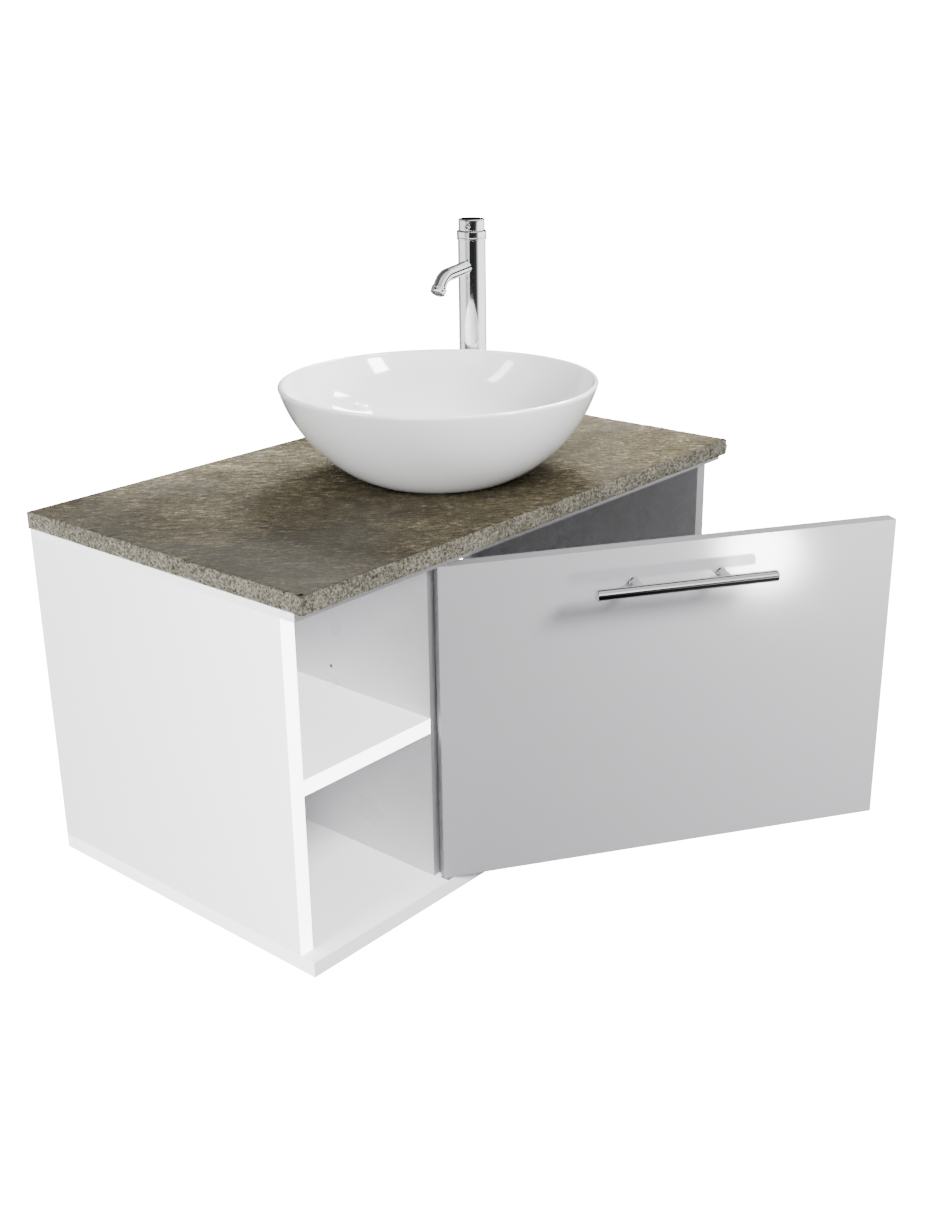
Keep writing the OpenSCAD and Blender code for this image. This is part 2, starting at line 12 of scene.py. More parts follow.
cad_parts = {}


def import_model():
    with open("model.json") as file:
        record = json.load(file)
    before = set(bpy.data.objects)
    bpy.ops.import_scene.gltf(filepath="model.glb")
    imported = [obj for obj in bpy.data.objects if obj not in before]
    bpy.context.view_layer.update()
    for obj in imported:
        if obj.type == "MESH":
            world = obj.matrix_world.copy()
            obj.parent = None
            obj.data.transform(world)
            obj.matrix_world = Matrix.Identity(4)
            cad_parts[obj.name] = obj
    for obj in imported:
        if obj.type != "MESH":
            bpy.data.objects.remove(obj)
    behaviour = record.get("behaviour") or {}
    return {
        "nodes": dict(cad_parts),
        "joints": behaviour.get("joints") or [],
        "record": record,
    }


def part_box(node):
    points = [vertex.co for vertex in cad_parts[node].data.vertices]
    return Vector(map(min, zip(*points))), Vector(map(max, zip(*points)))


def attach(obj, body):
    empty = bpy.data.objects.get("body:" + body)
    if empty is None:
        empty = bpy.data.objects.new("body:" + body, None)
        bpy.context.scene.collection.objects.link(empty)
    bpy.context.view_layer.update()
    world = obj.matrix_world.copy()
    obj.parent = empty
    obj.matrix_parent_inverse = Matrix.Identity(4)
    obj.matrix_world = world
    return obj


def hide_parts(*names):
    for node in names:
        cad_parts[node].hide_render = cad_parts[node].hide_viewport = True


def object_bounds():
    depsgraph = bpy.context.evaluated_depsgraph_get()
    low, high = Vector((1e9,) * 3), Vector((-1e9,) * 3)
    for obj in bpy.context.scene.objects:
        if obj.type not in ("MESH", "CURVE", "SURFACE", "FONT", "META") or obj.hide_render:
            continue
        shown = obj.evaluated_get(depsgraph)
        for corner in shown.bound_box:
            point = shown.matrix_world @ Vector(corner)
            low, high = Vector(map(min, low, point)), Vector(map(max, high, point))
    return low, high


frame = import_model()
cad_low, cad_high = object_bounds()

MM = 0.001
NODES = frame["nodes"]
SLOT_OF = {part["node"]: part["material_slot"] for part in frame["record"]["subparts"]}
BODY_OF = {node: body for body, nodes in frame["record"]["behaviour"]["bodies"].items() for node in nodes}
JOINTS = {joint["name"]: joint for joint in frame["joints"]}

# Brightness of the studio: what the camera sees as white, the even light on everything,
# and the brightest that gloss sees
WHITE = 20.0
AMBIENT = 0.5
GLOSS = 3.0
# The door's bright spot: how far it lies from the door's middle, towards the free edge and up,
# as parts of the door's box
GLINT_ACROSS = 0.18
GLINT_HEIGHT = 0.43


# ---------------------------------------------------------------- camera

# The eye's place, the lens on a 36 mm film, and the view's turn from +Y, its dip and its tilt in degrees
EYE = (-1.2813, -1.4398, 0.7104)
LENS_MM = 44.36
YAW, PITCH, ROLL = 49.07, 20.70, -0.81


def make_camera():
    """Three-quarter view from the front left and above, looking down on the counter."""
    yaw, pitch, roll = (math.radians(angle) for angle in (YAW, PITCH, ROLL))
    ahead = Vector((math.sin(yaw) * math.cos(pitch), math.cos(yaw) * math.cos(pitch), -math.sin(pitch)))
    right = Vector((math.cos(yaw), -math.sin(yaw), 0))
    up = right.cross(ahead)
    side = right * math.cos(roll) + up * math.sin(roll)
    over = up * math.cos(roll) - right * math.sin(roll)
    data = bpy.data.cameras.new("camera")
    data.sensor_width = 36
    data.lens = LENS_MM
    data.clip_start = 0.05
    data.clip_end = 60
    camera = bpy.data.objects.new("camera", data)
    bpy.context.scene.collection.objects.link(camera)
    turn = Matrix((side, over, -ahead)).transposed().to_4x4()
    camera.matrix_world = Matrix.Translation(EYE) @ turn
    bpy.context.scene.camera = camera


# ---------------------------------------------------------------- material helpers

def node_of(tree, kind, values=None, **settings):
    """A new shader node with its settings and input values."""
    made = tree.nodes.new(kind)
    for key, value in settings.items():
        setattr(made, key, value)
    for key, value in (values or {}).items():
        made.inputs[key].default_value = value
    return made


def place_coords(tree, stretch=(1, 1, 1), turn=(0, 0, 0)):
    """Object coordinates, turned and then stretched."""
    coords = node_of(tree, "ShaderNodeTexCoord")
    turned = node_of(tree, "ShaderNodeMapping", {"Rotation": turn})
    scaled = node_of(tree, "ShaderNodeMapping", {"Scale": stretch})
    tree.links.new(coords.outputs["Object"], turned.inputs["Vector"])
    tree.links.new(turned.outputs["Vector"], scaled.inputs["Vector"])
    return scaled.outputs["Vector"]


def cloud(tree, scale, detail=4.0, rough=0.5, stretch=(1, 1, 1), turn=(0, 0, 0), warp=0.0):
    """Fractal noise from 0 to 1 across the object's own space."""
    texture = node_of(tree, "ShaderNodeTexNoise",
                      {"Scale": scale, "Detail": detail, "Roughness": rough, "Distortion": warp})
    tree.links.new(place_coords(tree, stretch, turn), texture.inputs["Vector"])
    return texture.outputs["Fac"]


def ramp(tree, factor, stops):
    """Colour or grey value along a factor; each stop is (place, colour or number)."""
    made = node_of(tree, "ShaderNodeValToRGB")
    while len(made.color_ramp.elements) < len(stops):
        made.color_ramp.elements.new(0.5)
    for element, (place, colour) in zip(made.color_ramp.elements, stops):
        element.position = place
        tone = (colour,) * 3 if isinstance(colour, (int, float)) else colour
        element.color = (*tone, 1)
    tree.links.new(factor, made.inputs["Fac"])
    return made.outputs["Color"]


def blend_colours(tree, factor, first, second, mode="MIX"):
    """Two colours mixed by a factor, which may be a number or an output."""
    made = node_of(tree, "ShaderNodeMix", data_type="RGBA", blend_type=mode)
    for socket, value in ((made.inputs[0], factor), (made.inputs[6], first), (made.inputs[7], second)):
        if isinstance(value, bpy.types.NodeSocket):
            tree.links.new(value, socket)
        elif isinstance(value, (int, float)):
            socket.default_value = value
        else:
            socket.default_value = (*value, 1)
    return made.outputs[2]


def add_bump(tree, shader, height, depth_mm, strength=1.0):
    """Bump of a given depth on a shader's normal."""
    made = node_of(tree, "ShaderNodeBump", {"Strength": strength, "Distance": depth_mm * MM})
    tree.links.new(height, made.inputs["Height"])
    tree.links.new(made.outputs["Normal"], shader.inputs["Normal"])


def along_axis(tree, node, axis):
    """0 at a part's low end along X or Y, 1 at its high end."""
    low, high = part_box(node)
    index = "XY".index(axis)
    coords = node_of(tree, "ShaderNodeTexCoord")
    split = node_of(tree, "ShaderNodeSeparateXYZ")
    span = node_of(tree, "ShaderNodeMapRange", {"From Min": low[index], "From Max": high[index]})
    tree.links.new(coords.outputs["Object"], split.inputs[0])
    tree.links.new(split.outputs[axis], span.inputs["Value"])
    return span.outputs["Result"]


def surface(name, **uniform):
    """A new material, its node tree and its shader; uniform values sit on the shader itself."""
    material = bpy.data.materials.new(name)
    material.use_nodes = True
    shader = material.node_tree.nodes["Principled BSDF"]
    for key, value in uniform.items():
        shader.inputs[key.replace("_", " ")].default_value = value
    return material, material.node_tree, shader


def tinted(name, low, high, scale, rough_low, rough_high, grain, depth_mm, stretch=(1, 1, 1), **uniform):
    """A material with a soft colour drift, a varied roughness and a fine surface grain."""
    material, tree, shader = surface(name, **uniform)
    drift = cloud(tree, scale, 3, stretch=stretch)
    tree.links.new(ramp(tree, drift, [(0.3, low), (0.7, high)]), shader.inputs["Base Color"])
    haze = cloud(tree, scale * 7, 3, stretch=stretch)
    tree.links.new(ramp(tree, haze, [(0.3, rough_low), (0.7, rough_high)]), shader.inputs["Roughness"])
    add_bump(tree, shader, cloud(tree, grain, 2, stretch=stretch), depth_mm, 0.5)
    return material


# ---------------------------------------------------------------- materials

def stone_top():
    """Olive-brown stone look: short fine streaks, pale flecks, and cooler and darker clouds."""
    material, tree, shader = surface("stone_top", Specular_IOR_Level=0.12)
    lean = (0, 0, math.radians(46))
    cross_lean = (0, 0, -lean[2])
    streaks = cloud(tree, 260, 6, 0.66, stretch=(0.36, 1, 1), turn=lean, warp=0.9)
    base = ramp(tree, streaks, [(0.36, (0.070, 0.055, 0.031)), (0.46, (0.140, 0.115, 0.067)),
                                (0.56, (0.215, 0.184, 0.114)), (0.68, (0.54, 0.480, 0.33))])
    patches = ramp(tree, cloud(tree, 11, 5, 0.65, stretch=(0.7, 1, 1), turn=lean, warp=1.2),
                   [(0.34, 0.62), (0.50, 1.0), (0.66, 1.35)])
    toned = blend_colours(tree, 1.0, base, patches, "MULTIPLY")
    specks = ramp(tree, cloud(tree, 700, 3, 0.7, stretch=(0.5, 1, 1), turn=cross_lean),
                  [(0.38, 0.6), (0.52, 1.0), (0.66, 1.6)])
    toned = blend_colours(tree, 0.8, toned, specks, "MULTIPLY")
    cool = ramp(tree, cloud(tree, 4.5, 3, 0.5), [(0.50, 0.0), (0.64, 0.4)])
    toned = blend_colours(tree, cool, toned, (0.165, 0.158, 0.140))
    tree.links.new(across_counter(tree, toned), shader.inputs["Base Color"])
    tree.links.new(ramp(tree, streaks, [(0.3, 0.6), (0.7, 0.8)]), shader.inputs["Roughness"])
    grain = cloud(tree, 330, 5, 0.65, stretch=(0.4, 1, 1), turn=lean, warp=0.9)
    add_bump(tree, shader, grain, 0.5, 0.6)
    return material


def across_counter(tree, toned):
    """The stone's colour from end to end: cooler at the left, lighter at the right as painted light, and a
    painted sheen behind and left of the bowl.
    """
    across = along_axis(tree, "countertop", "X")
    # Where the painted sheen lies: the back part of the slab, left of the bowl
    behind = ramp(tree, along_axis(tree, "countertop", "Y"), [(0.55, 0.0), (0.95, 1.0)])
    left_of_bowl = ramp(tree, across, [(0.05, 0.0), (0.30, 1.0), (0.45, 1.0), (0.60, 0.0)])
    sheen_mask = blend_colours(tree, 1.0, behind, left_of_bowl, "MULTIPLY")
    cool_end = ramp(tree, across, [(0.0, 0.25), (0.35, 0.0)])
    toned = blend_colours(tree, cool_end, toned, (0.150, 0.150, 0.140))
    # Darker about a third of the way along; the lighter right end is painted light
    drift = ramp(tree, across, [(0.0, 1.08), (0.3, 0.86), (0.6, 0.95), (0.8, 1.4), (1.0, 1.75)])
    toned = blend_colours(tree, 1.0, toned, drift, "MULTIPLY")
    # Painted sheen: a pale patch on the back part, left of the bowl
    sheen_colour = blend_colours(tree, 1.0, toned, (2.6, 2.7, 2.9), "MULTIPLY")
    return blend_colours(tree, sheen_mask, toned, sheen_colour)


def stone_edge():
    """Broken edge of the counter: pale chips with dark grit between them."""
    material, tree, shader = surface("stone_edge", Specular_IOR_Level=0.3)
    chips = cloud(tree, 330, 6, 0.70, warp=0.6)
    base = ramp(tree, chips, [(0.36, (0.060, 0.053, 0.038)), (0.44, (0.21, 0.190, 0.145)),
                              (0.53, (0.46, 0.425, 0.335)), (0.66, (0.80, 0.76, 0.65))])
    patches = ramp(tree, cloud(tree, 18, 3, 0.5), [(0.35, 0.80), (0.65, 1.12)])
    tree.links.new(blend_colours(tree, 1.0, base, patches, "MULTIPLY"), shader.inputs["Base Color"])
    tree.links.new(ramp(tree, chips, [(0.3, 0.6), (0.7, 0.85)]), shader.inputs["Roughness"])
    add_bump(tree, shader, cloud(tree, 300, 5, 0.7), 1.0, 0.8)
    return material


def beech():
    """Straight-grained dowel wood."""
    material, tree, shader = surface("beech", Roughness=0.6)
    grain = cloud(tree, 60, 5, 0.6, stretch=(0.2, 1, 1))
    tree.links.new(ramp(tree, grain, [(0.3, (0.36, 0.22, 0.11)), (0.7, (0.56, 0.38, 0.21))]),
                   shader.inputs["Base Color"])
    add_bump(tree, shader, grain, 0.2, 0.4)
    return material


def aerator_grid():
    """Painted shade: a dark recess behind the aerator's fine round cells, near black in their middles."""
    material, tree, shader = surface("aerator_grid", Roughness=0.5)
    cells = node_of(tree, "ShaderNodeTexVoronoi", {"Scale": 900.0, "Randomness": 0.15})
    tree.links.new(place_coords(tree), cells.inputs["Vector"])
    # Painted shade: near black in each cell's middle, lighter towards its rim
    tree.links.new(ramp(tree, cells.outputs["Distance"], [(0.25, 0.01), (0.5, 0.16)]),
                   shader.inputs["Base Color"])
    add_bump(tree, shader, cells.outputs["Distance"], 0.3)
    return material


# Low and high colour, scale of the drift between them, low and high roughness,
# scale of the grain and its depth in mm
TINTS = {
    "white_board": ((0.80, 0.80, 0.815), (0.835, 0.835, 0.85), 2.5, 0.27, 0.36, 1400, 0.05),
    "gloss_door": ((0.485, 0.475, 0.50), (0.515, 0.505, 0.53), 2.0, 0.10, 0.13, 260, 0.02),
    # Grey painted shade for edges in the door's shadow or turned away from the light
    "painted_shade_edge": ((0.33, 0.328, 0.34), (0.36, 0.358, 0.37), 6.0, 0.35, 0.45, 900, 0.05),
    "white_ceramic": ((0.83, 0.83, 0.835), (0.86, 0.86, 0.865), 5.0, 0.07, 0.11, 40, 0.03),
    "chrome_plate": ((0.76, 0.77, 0.79), (0.82, 0.83, 0.84), 30.0, 0.04, 0.09, 300, 0.01),
    "polished_steel": ((0.62, 0.62, 0.63), (0.70, 0.70, 0.71), 40.0, 0.07, 0.12, 900, 0.02),
    "satin_steel": ((0.52, 0.52, 0.53), (0.62, 0.62, 0.62), 60.0, 0.25, 0.40, 900, 0.05),
    "black_rubber": ((0.016, 0.016, 0.017), (0.03, 0.03, 0.03), 50.0, 0.6, 0.8, 700, 0.1),
    "clear_rubber": ((0.60, 0.60, 0.59), (0.68, 0.68, 0.67), 60.0, 0.3, 0.45, 500, 0.05),
    "white_plastic": ((0.70, 0.70, 0.68), (0.76, 0.76, 0.74), 40.0, 0.35, 0.5, 900, 0.05),
    "brass": ((0.62, 0.44, 0.17), (0.74, 0.55, 0.26), 50.0, 0.18, 0.32, 900, 0.05),
    "magnet": ((0.03, 0.03, 0.032), (0.06, 0.06, 0.062), 60.0, 0.5, 0.65, 600, 0.08),
    "white_cartridge": ((0.66, 0.66, 0.64), (0.72, 0.72, 0.70), 60.0, 0.3, 0.4, 800, 0.04),
}

# What some of them have besides: a clear coat, metal, or a brushed grain
FINISHES = {
    "gloss_door": {"Coat_Weight": 0.3, "Coat_Roughness": 0.1},
    "white_ceramic": {"Coat_Weight": 0.5, "Coat_Roughness": 0.04},
    "chrome_plate": {"Metallic": 1.0},
    "polished_steel": {"Metallic": 1.0, "stretch": (0.2, 1, 1)},
    "satin_steel": {"Metallic": 1.0},
    "brass": {"Metallic": 1.0},
}

MATERIALS = {name: tinted(name, *tint, **FINISHES.get(name, {})) for name, tint in TINTS.items()}
MATERIALS["stone_top"] = stone_top()
MATERIALS["stone_edge"] = stone_edge()
MATERIALS["beech"] = beech()
MATERIALS["aerator_grid"] = aerator_grid()


# ---------------------------------------------------------------- mesh helpers

def mesh_piece(name, build, node, material=None, sharp_deg=35, replaces=()):
    """An object whose mesh is made by build(bm); it takes a node's body and slot."""
    bm = bmesh.new()
    build(bm)
    bmesh.ops.remove_doubles(bm, verts=bm.verts, dist=1e-7)
    bmesh.ops.recalc_face_normals(bm, faces=bm.faces)
    mesh = bpy.data.meshes.new(name)
    bm.to_mesh(mesh)
    bm.free()
    mesh.shade_smooth()
    mesh.set_sharp_from_angle(angle=math.radians(sharp_deg))
    piece = bpy.data.objects.new(name, mesh)
    bpy.context.scene.collection.objects.link(piece)
    mesh.materials.append(material or MATERIALS[SLOT_OF[node]])
    return settle(piece, node, replaces)


def settle(piece, node, replaces=()):
    """Puts a piece on a node's body, and lets it stand for the nodes it replaces."""
    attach(piece, BODY_OF[node])
    if replaces:
        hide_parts(*replaces)
    return piece


def turn_to(axis):
    """Rotation that takes +Z to an axis."""
    return Vector(axis).to_track_quat("Z", "Y").to_matrix().to_4x4()


def lathe(bm, profile, place=Matrix.Identity(4), steps=96):
    """Turns an outline of (radius, height) points round the Z axis; points at radius 0 close it."""
    rings = []
    for radius, height in profile:
        if radius < 1e-7:
            rings.append([bm.verts.new(place @ Vector((0, 0, height)))])
            continue
        angles = (2 * math.pi * step / steps for step in range(steps))
        rings.append([bm.verts.new(place @ Vector((radius * math.cos(a), radius * math.sin(a), height)))
                      for a in angles])
    for lower, upper in zip(rings, rings[1:]):
        join_rings(bm, lower, upper)


def join_rings(bm, lower, upper):
    """Faces between two closed rings, either of which may be a single point."""
    count = max(len(lower), len(upper))
    if count == 1:
        return
    for step in range(count):
        following = (step + 1) % count
        corners = [lower[step % len(lower)], lower[following % len(lower)],
                   upper[following % len(upper)], upper[step % len(upper)]]
        bm.faces.new(list(dict.fromkeys(corners)))


def rounded(corners, radius, steps=4):
    """An outline with each inner corner rounded; corners are (radius, height) points."""
    made = [corners[0]]
    for before, here, after in zip(corners, corners[1:], corners[2:]):
        here_v = Vector(here)
        back, ahead = Vector(before) - here_v, Vector(after) - here_v
        cut = min(radius, back.length * 0.45, ahead.length * 0.45)
        start, end = here_v + back.normalized() * cut, here_v + ahead.normalized() * cut
        for step in range(steps + 1):
            t = step / steps
            made.append(tuple(start * (1 - t) ** 2 + here_v * 2 * t * (1 - t) + end * t ** 2))
    made.append(corners[-1])
    return made


def tube(bm, path, outer, inner, steps=64):
    """A hollow round tube of constant section along a bent path that lies in one plane."""
    across = (path[1] - path[0]).cross(path[-1] - path[0]).normalized()
    skins = []
    for radius in (outer, inner):
        rings = []
        for index, point in enumerate(path):
            along = (path[min(index + 1, len(path) - 1)] - path[max(index - 1, 0)]).normalized()
            over = across.cross(along)
            rings.append([bm.verts.new(point + radius * (across * math.cos(a) + over * math.sin(a)))
                          for a in (2 * math.pi * step / steps for step in range(steps))])
        for lower, upper in zip(rings, rings[1:]):
            join_rings(bm, lower, upper)
        skins.append(rings)
    join_rings(bm, skins[0][0], skins[1][0])
    join_rings(bm, skins[0][-1], skins[1][-1])


def carve(piece, build_cutter):
    """Cuts a shape out of a piece, so that only the cut mesh is left."""
    bm = bmesh.new()
    build_cutter(bm)
    bmesh.ops.recalc_face_normals(bm, faces=bm.faces)
    mesh = bpy.data.meshes.new("cutter")
    bm.to_mesh(mesh)
    bm.free()
    cutter = bpy.data.objects.new("cutter", mesh)
    bpy.context.scene.collection.objects.link(cutter)
    cut = piece.modifiers.new("cut", "BOOLEAN")
    cut.object = cutter
    cut.solver = "EXACT"
    graph = bpy.context.evaluated_depsgraph_get()
    done = bpy.data.meshes.new_from_object(piece.evaluated_get(graph))
    piece.modifiers.clear()
    piece.data = done
    done.shade_smooth()
    done.set_sharp_from_angle(angle=math.radians(30))
    bpy.data.objects.remove(cutter)


def softened(node, width_mm):
    """A copy of a CAD node with its sharp edges rounded off, in place of the node."""
    def build(bm):
        bm.from_mesh(NODES[node].data)
        bmesh.ops.remove_doubles(bm, verts=bm.verts, dist=1e-6)
        bmesh.ops.dissolve_limit(bm, angle_limit=math.radians(0.5), verts=bm.verts, edges=bm.edges)

    piece = mesh_piece(node + "_soft", build, node, sharp_deg=30, replaces=(node,))
    edge = piece.modifiers.new("edges", "BEVEL")
    edge.width = width_mm * MM
    edge.segments = 2
    edge.limit_method = "ANGLE"
    edge.angle_limit = math.radians(40)
    return piece


def middle(node):
    """Centre of a node's box, and its size."""
    low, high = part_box(node)
    return (low + high) / 2, high - low


def bezier(points, steps):
    """Points along a cubic Bezier curve in (radius, height)."""
    a, b, c, d = (Vector(p) for p in points)
    for step in range(steps + 1):
        t = step / steps
        yield tuple(a * (1 - t) ** 3 + b * 3 * t * (1 - t) ** 2 + c * 3 * t * t * (1 - t) + d * t ** 3)


# ---------------------------------------------------------------- cabinet

# Rounding of the boards' and the door's edges, in mm
BOARD_ROUNDING = 0.7
DOOR_ROUNDING = 0.9

# The counter's broken edge: spacing of points along it, rows of points up it, and the wear on its corners;
# the plain back edge needs few points, and a narrow rim joins each edge to its flat face
CHIP_STEP = 2.5 * MM
CHIP_ROWS = 9
CORNER_WEAR = 0.9 * MM
BACK_STEP = 12 * MM
RIM = 9 * MM
# Holes through the counter: for the waste and for the faucet
WASTE_HOLE = 24 * MM
FAUCET_HOLE = 17 * MM


def dress_cabinet():
    """Boards with slightly rounded edges, the door, and grey painted shade on the divider's front edge and on the
    door's edges.
    """
    boards = ["bottom_board", "left_side_panel", "right_side_panel", "shelf", "sub_top",
              "left_top_stretcher", "right_top_stretcher", "upper_back_rail", "lower_back_rail"]
    for node in boards:
        softened(node, BOARD_ROUNDING)
    divider = softened("divider_panel", BOARD_ROUNDING)
    # The divider's front edge: painted shade from the door
    paint_edge_shade(divider, lambda normal: normal.y < -0.7)
    door = softened("door_panel", DOOR_ROUNDING)
    _, outward = door_directions()
    # The door's edges: painted shade, darker than its face
    paint_edge_shade(door, lambda normal: abs(normal.dot(outward)) < 0.7)


def paint_edge_shade(piece, shows):
    """Paints grey shade on the faces of a board whose direction passes a test."""
    piece.data.materials.append(MATERIALS["painted_shade_edge"])
    for face in piece.data.polygons:
        if shows(face.normal):
            face.material_index = 1


def slab_outline(low, high, inset):
    """Points round the slab, as (place, outward direction, how rough); the back is smooth."""
    corners = [Vector((low.x, high.y)), Vector((low.x, low.y)), Vector((high.x, low.y)), Vector((high.x, high.y))]
    outward = [Vector((-1, 0)), Vector((0, -1)), Vector((1, 0)), Vector((0, 1))]
    left, back = 0, 3
    points = []
    for side, (start, end) in enumerate(zip(corners, corners[1:] + corners[:1])):
        count = max(2, round((end - start).length / (BACK_STEP if side == back else CHIP_STEP)))
        for index in range(count):
            push = outward[side] if index else outward[side] + outward[side - 1]
            smooth = side == back or (side == left and index == 0)
            points.append((start.lerp(end, index / count) - push * inset, push, 0.0 if smooth else 1.0))
    return points


def chip_depth(place):
    """How far the broken surface lies behind the slab's outer face: waves, lumps and grit."""
    wave = noise.noise(place * 28)
    lumps = noise.voronoi(place * 95)[0][0]
    grit = noise.fractal(place * 420, 0.8, 2.0, 3)
    return max(0.0, 1.5 + 1.5 * wave + 2.2 * (0.75 - lumps) + 0.7 * grit) * MM


def chipped_ring(bm, low, high, row):
    """One level of points round the slab, set back where the edge is broken."""
    height = low.z + (high.z - low.z) * row / CHIP_ROWS
    wear = CORNER_WEAR if row in (0, CHIP_ROWS) else 0.0
    ring = []
    for spot, push, rough in slab_outline(low, high, 0):
        place = Vector((spot.x, spot.y, height))
        here = spot - push * ((chip_depth(place) + wear) * rough)
        sink = rough * 0.8 * MM * abs(noise.noise(place * 130))
        inward = {0: sink, CHIP_ROWS: -sink}.get(row, 0.0)
        ring.append(bm.verts.new((here.x, here.y, height + inward)))
    return ring


def slab_face(bm, low, high, ring, height):
    """Flat face inside an edge ring, with two round holes; gives the holes' loops."""
    inner = [bm.verts.new((spot.x, spot.y, height)) for spot, _, _ in slab_outline(low, high, RIM)]
    join_rings(bm, ring, inner)
    holes = []
    for node, radius in (("drain_flange", WASTE_HOLE), ("faucet_body", FAUCET_HOLE)):
        centre = middle(node)[0]
        angles = (2 * math.pi * step / 48 for step in range(48))
        holes.append([bm.verts.new((centre.x + radius * math.cos(a), centre.y + radius * math.sin(a), height))
                      for a in angles])
    edges = [bm.edges.get((loop[k], loop[k - 1])) or bm.edges.new((loop[k], loop[k - 1]))
             for loop in [inner] + holes for k in range(len(loop))]
    bmesh.ops.triangle_fill(bm, use_beauty=True, use_dissolve=False, edges=edges)
    return holes


def counter():
    """Stone-look slab with a flat top and broken front and side edges."""
    low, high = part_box("countertop")

    def build(bm):
        rings = [chipped_ring(bm, low, high, row) for row in range(CHIP_ROWS + 1)]
        for lower, upper in zip(rings, rings[1:]):
            join_rings(bm, lower, upper)
        below = slab_face(bm, low, high, rings[0], low.z)
        above = slab_face(bm, low, high, rings[-1], high.z)
        for lower, upper in zip(below, above):
            join_rings(bm, lower, upper)

    piece = mesh_piece("counter", build, "countertop", MATERIALS["stone_top"], 180, ("countertop",))
    piece.data.materials.append(MATERIALS["stone_edge"])
    for face in piece.data.polygons:
        if abs(face.normal.z) < 0.75:
            face.material_index = 1


# ---------------------------------------------------------------- handle

def handle():
    """Round bar with turned ends, on two posts; neither is mirrored in the door."""
    bar_low, bar_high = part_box("handle_bar")
    along, outward = door_directions()
    radius = (bar_high.z - bar_low.z) / 2
    half = (bar_high.x - bar_low.x - 2 * radius * abs(along.y)) / abs(along.x) / 2
    centre = (bar_low + bar_high) / 2
    place = Matrix.Translation(centre) @ turn_to(along)
    turned = 0.9 * MM
    ends = [(0, -half), (radius - turned, -half), (radius, -half + turned),
            (radius, half - turned), (radius - turned, half), (0, half)]
    bar = mesh_piece("bar", lambda bm: lathe(bm, rounded(ends, 0.4 * MM), place), "handle_bar",
                     replaces=("handle_bar",))
    stand_off = 30 * MM
    stem_r, foot_r, stem_top = 4.8 * MM, 6.2 * MM, stand_off - 2 * MM
    stem = [(0, 0), (foot_r, 0), (foot_r, 1.2 * MM), (stem_r, 3.2 * MM), (stem_r, stem_top), (0, stem_top)]

    def build_posts(bm):
        for post in post_centres():
            start = centre + along * (post - centre).dot(along) - outward * stand_off
            lathe(bm, rounded(stem, 0.5 * MM), Matrix.Translation(start) @ turn_to(outward), 48)

    posts = mesh_piece("bar_posts", build_posts, "handle_posts", replaces=("handle_posts",))
    bar.visible_glossy = posts.visible_glossy = False


def post_centres():
    """Middle of each handle post, from the two loose parts of the node's mesh."""
    co = [v.co for v in NODES["handle_posts"].data.vertices]
    centre = sum(co, Vector()) / len(co)
    left = [c for c in co if c.x < centre.x]
    right = [c for c in co if c.x >= centre.x]
    return [sum(part, Vector()) / len(part) for part in (left, right)]


def door_directions():
    """Level directions along the door and out of its face."""
    left, right = post_centres()
    along = (right - left).normalized()
    return along, Vector((along.y, -along.x, 0))


# ---------------------------------------------------------------- basin and waste

def basin():
    """Round glazed bowl turned from two smooth curves."""
    centre, size = middle("basin")
    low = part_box("basin")[0].z
    rim, height = size.x / 2, size.z
    wall, foot, floor, drain = 6 * MM, 92 * MM, 13 * MM, 23 * MM
    roll = wall / 2
    outer = bezier([(foot, 0), (foot + 48 * MM, 20 * MM),
                    (rim - 14 * MM, height * 0.55), (rim, height - roll)], 40)
    inner = bezier([(rim - wall, height - roll), (rim - 22 * MM, height * 0.56),
                    (foot + 38 * MM, 30 * MM), (36 * MM, floor)], 48)
    lip = [(rim - roll + roll * math.cos(a), height - roll + roll * math.sin(a))
           for a in (math.pi * k / 10 for k in range(1, 10))]
    glaze = [(drain, 0), (foot - 4 * MM, 0)] + list(outer) + lip + list(inner)
    glaze += rounded([(30 * MM, floor), (drain, floor), (drain, 0)], 1.5 * MM)
    place = Matrix.Translation((centre.x, centre.y, low))
    mesh_piece("bowl", lambda bm: lathe(bm, glaze, place, 160), "basin", sharp_deg=60, replaces=("basin",))


def waste():
    """Turned waste flange and mushroom plug."""
    centre = middle("drain_flange")[0]
    low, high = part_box("drain_flange")
    bore, tube_r, lip_r = 17.5 * MM, 21 * MM, 32 * MM
    top = high.z - low.z
    under_lip = top - 2.5 * MM
    flange = [(bore, 0), (tube_r, 0), (tube_r, under_lip), (lip_r, under_lip), (31 * MM, top),
              (19 * MM, top), (bore, top - 2 * MM), (bore, 0)]
    at = Matrix.Translation((centre.x, centre.y, low.z))
    mesh_piece("waste_flange", lambda bm: lathe(bm, rounded(flange, 0.6 * MM), at), "drain_flange",
               replaces=("drain_flange",))

    low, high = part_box("drain_plug")
    stem_r, edge_r = 3 * MM, 28 * MM
    top = high.z - low.z
    under_cap = top - 6.2 * MM
    plug = [(0, 0), (stem_r, 0), (stem_r, under_cap), (edge_r, under_cap), (29 * MM, top - 5.2 * MM),
            (edge_r, top - 3.6 * MM), (20 * MM, top - 1.6 * MM), (10 * MM, top - 0.4 * MM), (0, top)]
    on = Matrix.Translation((centre.x, centre.y, low.z))
    mesh_piece("plug_cap", lambda bm: lathe(bm, rounded(plug, 1.2 * MM, 5), on), "drain_plug",
               replaces=("drain_plug",))


# ---------------------------------------------------------------- faucet

# Radius of the ball dome that the cap tips on
BALL = 13 * MM


def heading(node, centre):
    """Level direction from the faucet's axis to a node's middle."""
    away = middle(node)[0] - centre
    return Vector((away.x, away.y, 0)).normalized()


